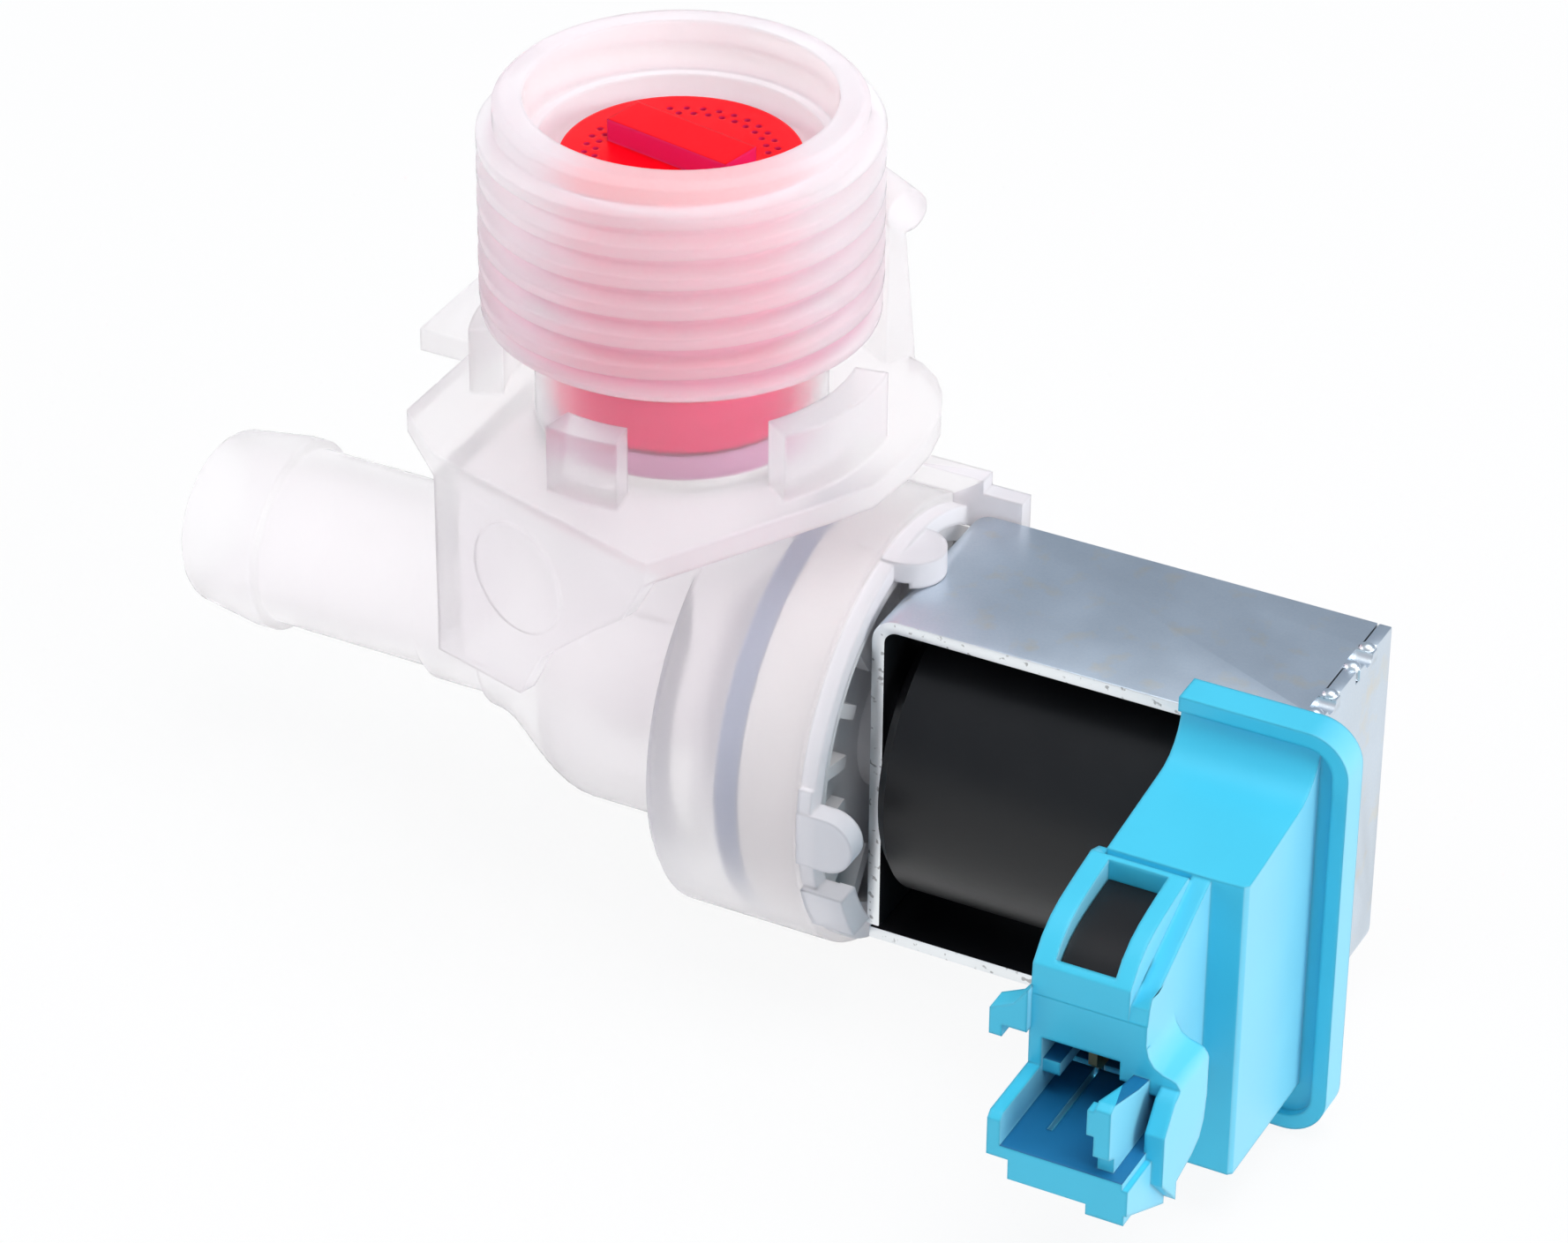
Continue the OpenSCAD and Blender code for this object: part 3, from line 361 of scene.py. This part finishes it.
for corner in body.data.vertices:
    x, y, z = corner.co
    if x > 0.0210 and y < -0.007 and z < -0.0235:
        corner.co.x -= 0.0013
crisp(body)
dress(body, clear, "housing")
body.data.materials.append(frosted)
body.data.materials.append(thick)
for face in body.data.polygons:
    if face.center.z > 0.0078:
        face.material_index = 1
    elif face.center.x > 0.0168 and face.center.z < -0.0045:
        face.material_index = 2
    else:
        face.material_index = 0

# Strainer: a red cup pushed down the inlet, with a grip rib and rings of fine holes on its top.
strainer_red = (0.92, 0.0, 0.008)
wall_painted_shade_red = (0.82, 0.015, 0.13)


def painted_light_by_normal(tree, axis, low, high):
    """A colour that goes from low to high as a face turns towards one of the object's own axes; this paints light and
    shade by face direction.
    """
    place = tree.nodes.new("ShaderNodeTexCoord")
    split = tree.nodes.new("ShaderNodeSeparateXYZ")
    blend = tree.nodes.new("ShaderNodeMix")
    blend.data_type = "RGBA"
    blend.inputs["A"].default_value = (*low, 1)
    blend.inputs["B"].default_value = (*high, 1)
    tree.links.new(place.outputs["Normal"], split.inputs[0])
    tree.links.new(split.outputs[axis], blend.inputs["Factor"])
    return blend.outputs["Result"]


# Painted shade on the strainer: its walls get a darker, bluer red than its top, chosen by face direction.
red, tree, shader = new_material("strainer_red")
add_grain(tree, shader, painted_light_by_normal(tree, "Z", wall_painted_shade_red, strainer_red), scale=0.8, cloud=0.1, rough=0.38, height=0.2, edge=0.0003)
shader.inputs["Specular IOR Level"].default_value = 0.15
strainer = merged_copy("inlet_strainer", "strainer_cup")
crisp(strainer)
dress(strainer, red, "housing")

# Flow washer and its seat: a dark rubber ring on a perforated disc, clamped under the strainer.
rubber, tree, shader = new_material("washer_rubber")
add_grain(tree, shader, (0.62, 0.29, 0.44), cloud=0.2, rough=0.6, height=0.4)
dress_node("flow_washer", rubber)
plain_white, tree, shader = new_material("white_moulding")
add_grain(tree, shader, (0.86, 0.86, 0.83), cloud=0.06, rough=0.45, height=0.2)
dress_node("washer_seat", plain_white)

# Diaphragm and its stiff core: the dark disc that shows as a band through the chamber's wall.
membrane, tree, shader = new_material("membrane_rubber")
add_grain(tree, shader, (0.32, 0.35, 0.45), cloud=0.2, rough=0.55, height=0.4)
dress_node("diaphragm", membrane)
dress_node("diaphragm_core", plain_white)

# Bonnet: the white ribbed moulding that clamps the diaphragm and guides the plunger.
ribbed, tree, shader = new_material("ribbed_white")
add_grain(tree, shader, (0.68, 0.66, 0.66), cloud=0.06, rough=0.45, height=0.2)
bonnet = merged_copy("bonnet", "bonnet_moulding")
crisp(bonnet)
dress(bonnet, ribbed, "housing")

# Plunger, its rubber tip and its spring, all inside the guide tube.
steel, tree, shader = new_material("plunger_steel")
add_grain(tree, shader, (0.55, 0.55, 0.56), cloud=0.15, rough=0.32, height=0.3)
shader.inputs["Metallic"].default_value = 1.0
for node in ("plunger", "flux_sleeve_left", "flux_sleeve_right"):
    dress_node(node, steel)
spring = merged_copy("plunger_spring", "spring_wire")
dress(spring, steel, "housing")
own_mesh(spring)
seal, tree, shader = new_material("seal_rubber")
add_grain(tree, shader, (0.03, 0.03, 0.035), cloud=0.2, rough=0.6, height=0.4)
dress_node("plunger_seal", seal)

# Coil: bobbin, copper winding and the black cover moulded over both, with the post for the terminals.
bobbin, tree, shader = new_material("bobbin_plastic")
add_grain(tree, shader, (0.72, 0.68, 0.58), cloud=0.08, rough=0.45, height=0.2)
dress_node("coil_bobbin", bobbin)
copper, tree, shader = new_material("winding_copper")
add_grain(tree, shader, (0.72, 0.30, 0.14), cloud=0.2, rough=0.35, height=0.6)
shader.inputs["Metallic"].default_value = 1.0
dress_node("coil_winding", copper)
black, tree, shader = new_material("cover_black")
add_grain(tree, shader, (0.006, 0.006, 0.007), cloud=0.4, rough=0.40, spread=0.2, height=0.2)
shader.inputs["Specular IOR Level"].default_value = 0.38
cover = merged_copy("coil_overmould", "coil_cover")
crisp(cover)
dress(cover, black, "housing")

# Yoke: two bent strips of zinc-plated steel that close the field round the coil. The upper strip's
# fingers are staked into the lower strip's notches at the top right.
sheet_tint = (0.62, 0.71, 0.80)
stain_tint = (0.74, 0.70, 0.60)
# The cut faces are real, but their light tint is a painted highlight for the floor they reflect; the same tint also
# lightens the fine grain.
grain_and_edge_glint_tint = (0.88, 0.91, 0.93)
nick_tint = (0.16, 0.15, 0.15)


def wear_group():
    """Masks of a worn plated strip: stains, fine grain, a painted highlight on the cut faces and nicks along them."""
    group = bpy.data.node_groups.new("plate_wear", "ShaderNodeTree")
    face = group.interface
    for name in ("Stain", "Grain", "Edge Glint", "Nick"):
        face.new_socket(name, in_out="OUTPUT", socket_type="NodeSocketFloat")
    nodes, links = group.nodes, group.links
    outside = nodes.new("NodeGroupOutput")
    place = nodes.new("ShaderNodeTexCoord")
    masks = {}
    for name, scale, detail, low, high in (("Stain", 420.0, 5, 0.56, 0.72), ("Grain", 5200.0, 4, 0.2, 0.8),
                                           ("Nick", 1500.0, 2, 0.62, 0.68)):
        noise = nodes.new("ShaderNodeTexNoise")
        noise.inputs["Scale"].default_value = scale
        noise.inputs["Detail"].default_value = detail
        links.new(place.outputs["Object"], noise.inputs["Vector"])
        ramp = nodes.new("ShaderNodeMapRange")
        ramp.inputs["From Min"].default_value = low
        ramp.inputs["From Max"].default_value = high
        links.new(noise.outputs["Fac"], ramp.inputs["Value"])
        masks[name] = ramp.outputs["Result"]
    split = nodes.new("ShaderNodeSeparateXYZ")
    links.new(place.outputs["Normal"], split.inputs[0])
    across = nodes.new("ShaderNodeMath")
    across.operation = "ABSOLUTE"
    links.new(split.outputs["Y"], across.inputs[0])
    edge_glint = nodes.new("ShaderNodeMapRange")
    edge_glint.inputs["From Min"].default_value = 0.3
    edge_glint.inputs["From Max"].default_value = 0.7
    links.new(across.outputs[0], edge_glint.inputs["Value"])
    masks["Edge Glint"] = edge_glint.outputs["Result"]
    both = nodes.new("ShaderNodeMath")
    both.operation = "MULTIPLY"
    links.new(masks["Nick"], both.inputs[0])
    links.new(masks["Edge Glint"], both.inputs[1])
    masks["Nick"] = both.outputs[0]
    for name, socket in masks.items():
        links.new(socket, outside.inputs[name])
    return group


zinc, tree, shader = new_material("zinc_plate")
wear = tree.nodes.new("ShaderNodeGroup")
wear.node_tree = wear_group()
colour = (*sheet_tint, 1)
for mask, tone, share in (("Grain", grain_and_edge_glint_tint, 0.22), ("Stain", stain_tint, 0.55), ("Edge Glint", grain_and_edge_glint_tint, 1.0),
                          ("Nick", nick_tint, 0.6)):
    amount = tree.nodes.new("ShaderNodeMath")
    amount.operation = "MULTIPLY"
    amount.inputs[1].default_value = share
    tree.links.new(wear.outputs[mask], amount.inputs[0])
    blend = tree.nodes.new("ShaderNodeMix")
    blend.data_type = "RGBA"
    if isinstance(colour, tuple):
        blend.inputs["A"].default_value = colour
    else:
        tree.links.new(colour, blend.inputs["A"])
    blend.inputs["B"].default_value = (*tone, 1)
    tree.links.new(amount.outputs[0], blend.inputs["Factor"])
    colour = blend.outputs["Result"]
add_grain(tree, shader, colour, scale=0.8, cloud=0.25, rough=0.38, spread=0.2, height=0.3)
shader.inputs["Metallic"].default_value = 1.0
# Painted shade on the yoke: a near-black zinc for the inner faces that turn to the coil, where shade falls.
painted_shade_zinc, tree, shader = new_material("zinc_painted_shade")
add_grain(tree, shader, (0.05, 0.05, 0.055), scale=0.8, cloud=0.25, rough=0.55, height=0.3)
shader.inputs["Metallic"].default_value = 1.0
middle = Vector((0.0336, 0, -0.0204))
stake_x, stake_y, stake_top = 0.0486, 0.0031, -0.00735
for node, name in (("yoke_upper", "upper_strip"), ("yoke_lower", "lower_strip")):
    strip = merged_copy(node, name)
    bpy.ops.object.mode_set(mode="EDIT")
    bpy.ops.mesh.select_all(action="SELECT")
    bpy.ops.mesh.dissolve_limited(angle_limit=math.radians(0.6))
    bpy.ops.object.mode_set(mode="OBJECT")
    edge = strip.modifiers.new("Edge", "BEVEL")
    edge.width = 0.00012
    edge.segments = 2
    edge.limit_method = "ANGLE"
    edge.angle_limit = math.radians(32)
    edge.use_clamp_overlap = False
    bpy.ops.object.modifier_apply(modifier="Edge")
    if node == "yoke_upper":
        for y in (-stake_y, stake_y):
            bpy.ops.mesh.primitive_cylinder_add(vertices=32, radius=0.00075, depth=0.0014, rotation=(0, math.pi / 2, 0),
                                                location=(stake_x, y, stake_top + 0.0002))
            combine(strip, bpy.context.object, "DIFFERENCE")
            for side in (-1, 1):
                bpy.ops.mesh.primitive_uv_sphere_add(segments=24, ring_count=12, radius=0.0006,
                                                     location=(stake_x - 0.0001, y + side * 0.00125, stake_top - 0.0001))
                bpy.context.object.scale = (1.0, 0.85, 0.7)
                combine(strip, bpy.context.object, "UNION")
    crisp(strip)
    dress(strip, zinc, "housing")
    strip.data.materials.append(painted_shade_zinc)
    # Faces turned in to the coil take the painted-shade zinc.
    for face in strip.data.polygons:
        inward = (middle - face.center).normalized().dot(face.normal)
        if inward > 0.3 and abs(face.normal.y) < 0.5 and face.center.x < 0.0483:
            face.material_index = 1

# Terminals: two brass blades that stand in the cap's socket.
brass, tree, shader = new_material("terminal_brass")
add_grain(tree, shader, (0.50, 0.34, 0.16), cloud=0.2, rough=0.45, height=0.3)
shader.inputs["Metallic"].default_value = 1.0
for node in ("terminal_inner", "terminal_outer"):
    dress_node(node, brass)

# Connector cap: sky-blue moulding that snaps over the coil's post and makes the plug's socket.
cap_blue = (0.052, 0.54, 0.75)
side_painted_sheen_blue = (0.20, 0.60, 0.77)
# Painted sheen on the cap: faces turned to +X get a paler blue than the rest.
blue, tree, shader = new_material("cap_blue")
add_grain(tree, shader, painted_light_by_normal(tree, "X", cap_blue, side_painted_sheen_blue), cloud=0.10, rough=0.40, spread=0.15,
          height=0.2, edge=0.00035)
cap = merged_copy("connector_cap", "cap_moulding")

# The socket's block is lower than the frame's, with a hollow at the nose's side, a round back foot and a
# lower outer wall: each is an outline pushed out into a cutter, after one that fills the frame's dimple
hollow = [(0.0485, -0.0140), (0.0485, -0.0173), (0.0487, -0.0181), (0.0491, -0.01875), (0.0497, -0.0191),
          (0.0503, -0.01925), (0.05065, -0.0194), (0.0509, -0.01975), (0.0512, -0.0206), (0.0520, -0.0206), (0.0520, -0.0140)]
foot = [(-0.0250, -0.0232), (-0.02545, -0.0232), (-0.0257, -0.0247), (-0.0263, -0.0258), (-0.0274, -0.0264),
        (-0.0290, -0.0268), (-0.0297, -0.0270), (-0.0297, -0.0305), (-0.0250, -0.0305)]
wall = [(-0.02972, -0.0199), (-0.0306, -0.0203), (-0.0320, -0.0221), (-0.0330, -0.0221), (-0.0330, -0.0170),
        (-0.02972, -0.0170)]
fill = [(-0.0297, -0.0204), (-0.0281, -0.0204), (-0.0281, -0.0175), (-0.0297, -0.0175)]
combine(cap, pushed_out("dimple_fill", [(0.0483, y, z) for y, z in fill], (0.0024, 0, 0)), "UNION")
combine(cap, pushed_out("block_hollow", [(x, -0.0302, z) for x, z in hollow], (0, 0.0049, 0)), "DIFFERENCE")
combine(cap, pushed_out("block_foot", [(0.0400, y, z) for y, z in foot], (0.0120, 0, 0)), "DIFFERENCE")
combine(cap, pushed_out("wall_top", [(0.0493, y, z) for y, z in wall], (0.0030, 0, 0)), "DIFFERENCE")

# The body's front corner is square, its top falls a little to the nose and the nose's right edge is a ramp
side_x, front_y, corner_r = 0.0510, -0.0205, 0.0024
fall_start, fall_run, fall = -0.0125, 0.0080, 0.00095
nose_top, nose_run, frame_x, rail = -0.01125, 0.0092, 0.0472, 0.0008
ramp_top, ramp_slope = -0.01043, 0.487


def nose_level(y):
    """Height of the nose's top on the frame's solid."""
    t = max(0, (front_y - y) / nose_run)
    return nose_top - 0.0009 * t - 0.0026 * t ** 5


for corner in cap.data.vertices:
    x, y, z = corner.co
    out_x, out_y = x - (side_x - corner_r), front_y + corner_r - y
    if out_x > 0 and out_y > 0 and abs(math.hypot(out_x, out_y) - corner_r) < 0.00005:
        grow = corner_r / max(out_x, out_y)
        corner.co.x, corner.co.y = side_x - corner_r + out_x * grow, front_y + corner_r - out_y * grow
    if front_y - 0.0001 < y < fall_start and z > -0.0124:
        share = min(1, (fall_start - y) / fall_run) * min(1, (z + 0.0124) / 0.003)
        corner.co.z -= fall * share
    if front_y - nose_run < y < front_y + 0.0011:
        if x > frame_x - 0.00002 and abs(z - nose_level(y)) < 0.00006:
            corner.co.z = ramp_top - ramp_slope * (front_y - y)
        elif abs(z - rail - nose_level(y)) < 0.00006:
            corner.co.z += 0.00025 * max(0, 1 - (front_y - y) / 0.0045)
crisp(cap)
dress(cap, blue, "housing")
# Painted shade in the socket: the tray floor and inner walls get a dark blue material that stands for the shade inside
# it.
socket_painted_shade, tree, shader = new_material("cap_painted_shade")
add_grain(tree, shader, (0.008, 0.15, 0.33), cloud=0.10, rough=0.40, spread=0.15, height=0.2, edge=0.00035)
cap.data.materials.append(socket_painted_shade)
for face in cap.data.polygons:
    x, y, z = face.center
    if 0.0412 < x < 0.0497 and -0.0361 < y < -0.0232 and -0.0242 < z < -0.0189 and face.normal.y > -0.5 and face.normal.x < 0.5:
        face.material_index = 1

# Table: a wide pale floor under the valve. It shows white to the camera and keeps a faint shadow.
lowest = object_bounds()[0][2]
bpy.ops.mesh.primitive_plane_add(size=4.0, location=(0, 0, lowest - 0.0005))
floor = bpy.context.object
floor.name = "table_top"
paper = bpy.data.materials.new("white_paper")
paper.use_nodes = True
tree = paper.node_tree
tree.nodes.clear()
matt = tree.nodes.new("ShaderNodeBsdfDiffuse")
matt.inputs["Color"].default_value = (0.82, 0.82, 0.82, 1)
bright = tree.nodes.new("ShaderNodeEmission")
bright.inputs["Strength"].default_value = 1.0
path = tree.nodes.new("ShaderNodeLightPath")
seen = tree.nodes.new("ShaderNodeMath")
seen.operation = "MAXIMUM"
tree.links.new(path.outputs["Is Camera Ray"], seen.inputs[0])
also = tree.nodes.new("ShaderNodeMath")
also.operation = "MAXIMUM"
tree.links.new(path.outputs["Is Glossy Ray"], also.inputs[0])
tree.links.new(path.outputs["Is Transmission Ray"], also.inputs[1])
tree.links.new(also.outputs[0], seen.inputs[1])
share = tree.nodes.new("ShaderNodeMath")
share.operation = "MULTIPLY"
share.inputs[1].default_value = 0.9
tree.links.new(seen.outputs[0], share.inputs[0])
blend = tree.nodes.new("ShaderNodeMixShader")
tree.links.new(share.outputs[0], blend.inputs["Fac"])
tree.links.new(matt.outputs[0], blend.inputs[1])
tree.links.new(bright.outputs[0], blend.inputs[2])
out = tree.nodes.new("ShaderNodeOutputMaterial")
tree.links.new(blend.outputs[0], out.inputs["Surface"])
floor.data.materials.append(paper)

# Light: a pale room, a large soft lamp over the left shoulder and a second one at the right.
world = bpy.data.worlds.new("room")
bpy.context.scene.world = world
world.use_nodes = True
tree = world.node_tree
walls = tree.nodes["Background"]
walls.inputs["Color"].default_value = (0.72, 0.80, 0.92, 1)
walls.inputs["Strength"].default_value = 0.5
sweep = tree.nodes.new("ShaderNodeBackground")
sweep.inputs["Strength"].default_value = 1.0
path = tree.nodes.new("ShaderNodeLightPath")
seen = tree.nodes.new("ShaderNodeMath")
seen.operation = "MAXIMUM"
tree.links.new(path.outputs["Is Camera Ray"], seen.inputs[0])
tree.links.new(path.outputs["Is Transmission Ray"], seen.inputs[1])
blend = tree.nodes.new("ShaderNodeMixShader")
tree.links.new(seen.outputs[0], blend.inputs["Fac"])
tree.links.new(walls.outputs[0], blend.inputs[1])
tree.links.new(sweep.outputs[0], blend.inputs[2])
tree.links.new(blend.outputs[0], tree.nodes["World Output"].inputs["Surface"])


def lamp(name, place, size, power):
    """A square soft lamp that looks at the middle of the valve."""
    light = bpy.data.lights.new(name, "AREA")
    light.size = size
    light.energy = power
    holder = bpy.data.objects.new(name, light)
    bpy.context.scene.collection.objects.link(holder)
    holder.location = place
    aim = Vector((0.01, 0, -0.01)) - Vector(place)
    holder.rotation_euler = aim.to_track_quat("-Z", "Y").to_euler()


lamp("key_lamp", (0.25, -0.05, 0.95), 0.7, 6.5)
lamp("side_lamp", (0.85, -0.10, 0.25), 0.5, 4.2)
lamp("fill_lamp", (-0.85, -0.35, 0.20), 0.6, 3.6)

# Camera: stands where the photograph was taken, a little over two valve lengths up and to the right.
azimuth, elevation, roll = (math.radians(v) for v in (27.067, 33.041, 0.452))
distance = 0.4019
aside, below = 0.006884, -0.011397
right = Vector((math.cos(azimuth), math.sin(azimuth), 0))
back = Vector((math.sin(azimuth) * math.cos(elevation), -math.cos(azimuth) * math.cos(elevation), math.sin(elevation)))
up = back.cross(right)
level = math.cos(roll) * right + math.sin(roll) * up
upright = math.cos(roll) * up - math.sin(roll) * right
stand = aside * level + below * upright + distance * back - Vector((0, 0, 0.004))
camera = bpy.data.objects.new("camera", bpy.data.cameras.new("camera"))
bpy.context.scene.collection.objects.link(camera)
camera.data.lens = 36 * 6725 / 1777
camera.data.sensor_width = 36
camera.data.clip_start, camera.data.clip_end = 0.01, 10
camera.location = stand
camera.rotation_mode = "QUATERNION"
camera.rotation_quaternion = back.to_track_quat("Z", "Y")
camera.matrix_world = Matrix.Translation(stand) @ Matrix((level, upright, back)).transposed().to_4x4()
bpy.context.scene.camera = camera

bpy.context.scene.view_settings.view_transform = "Standard"
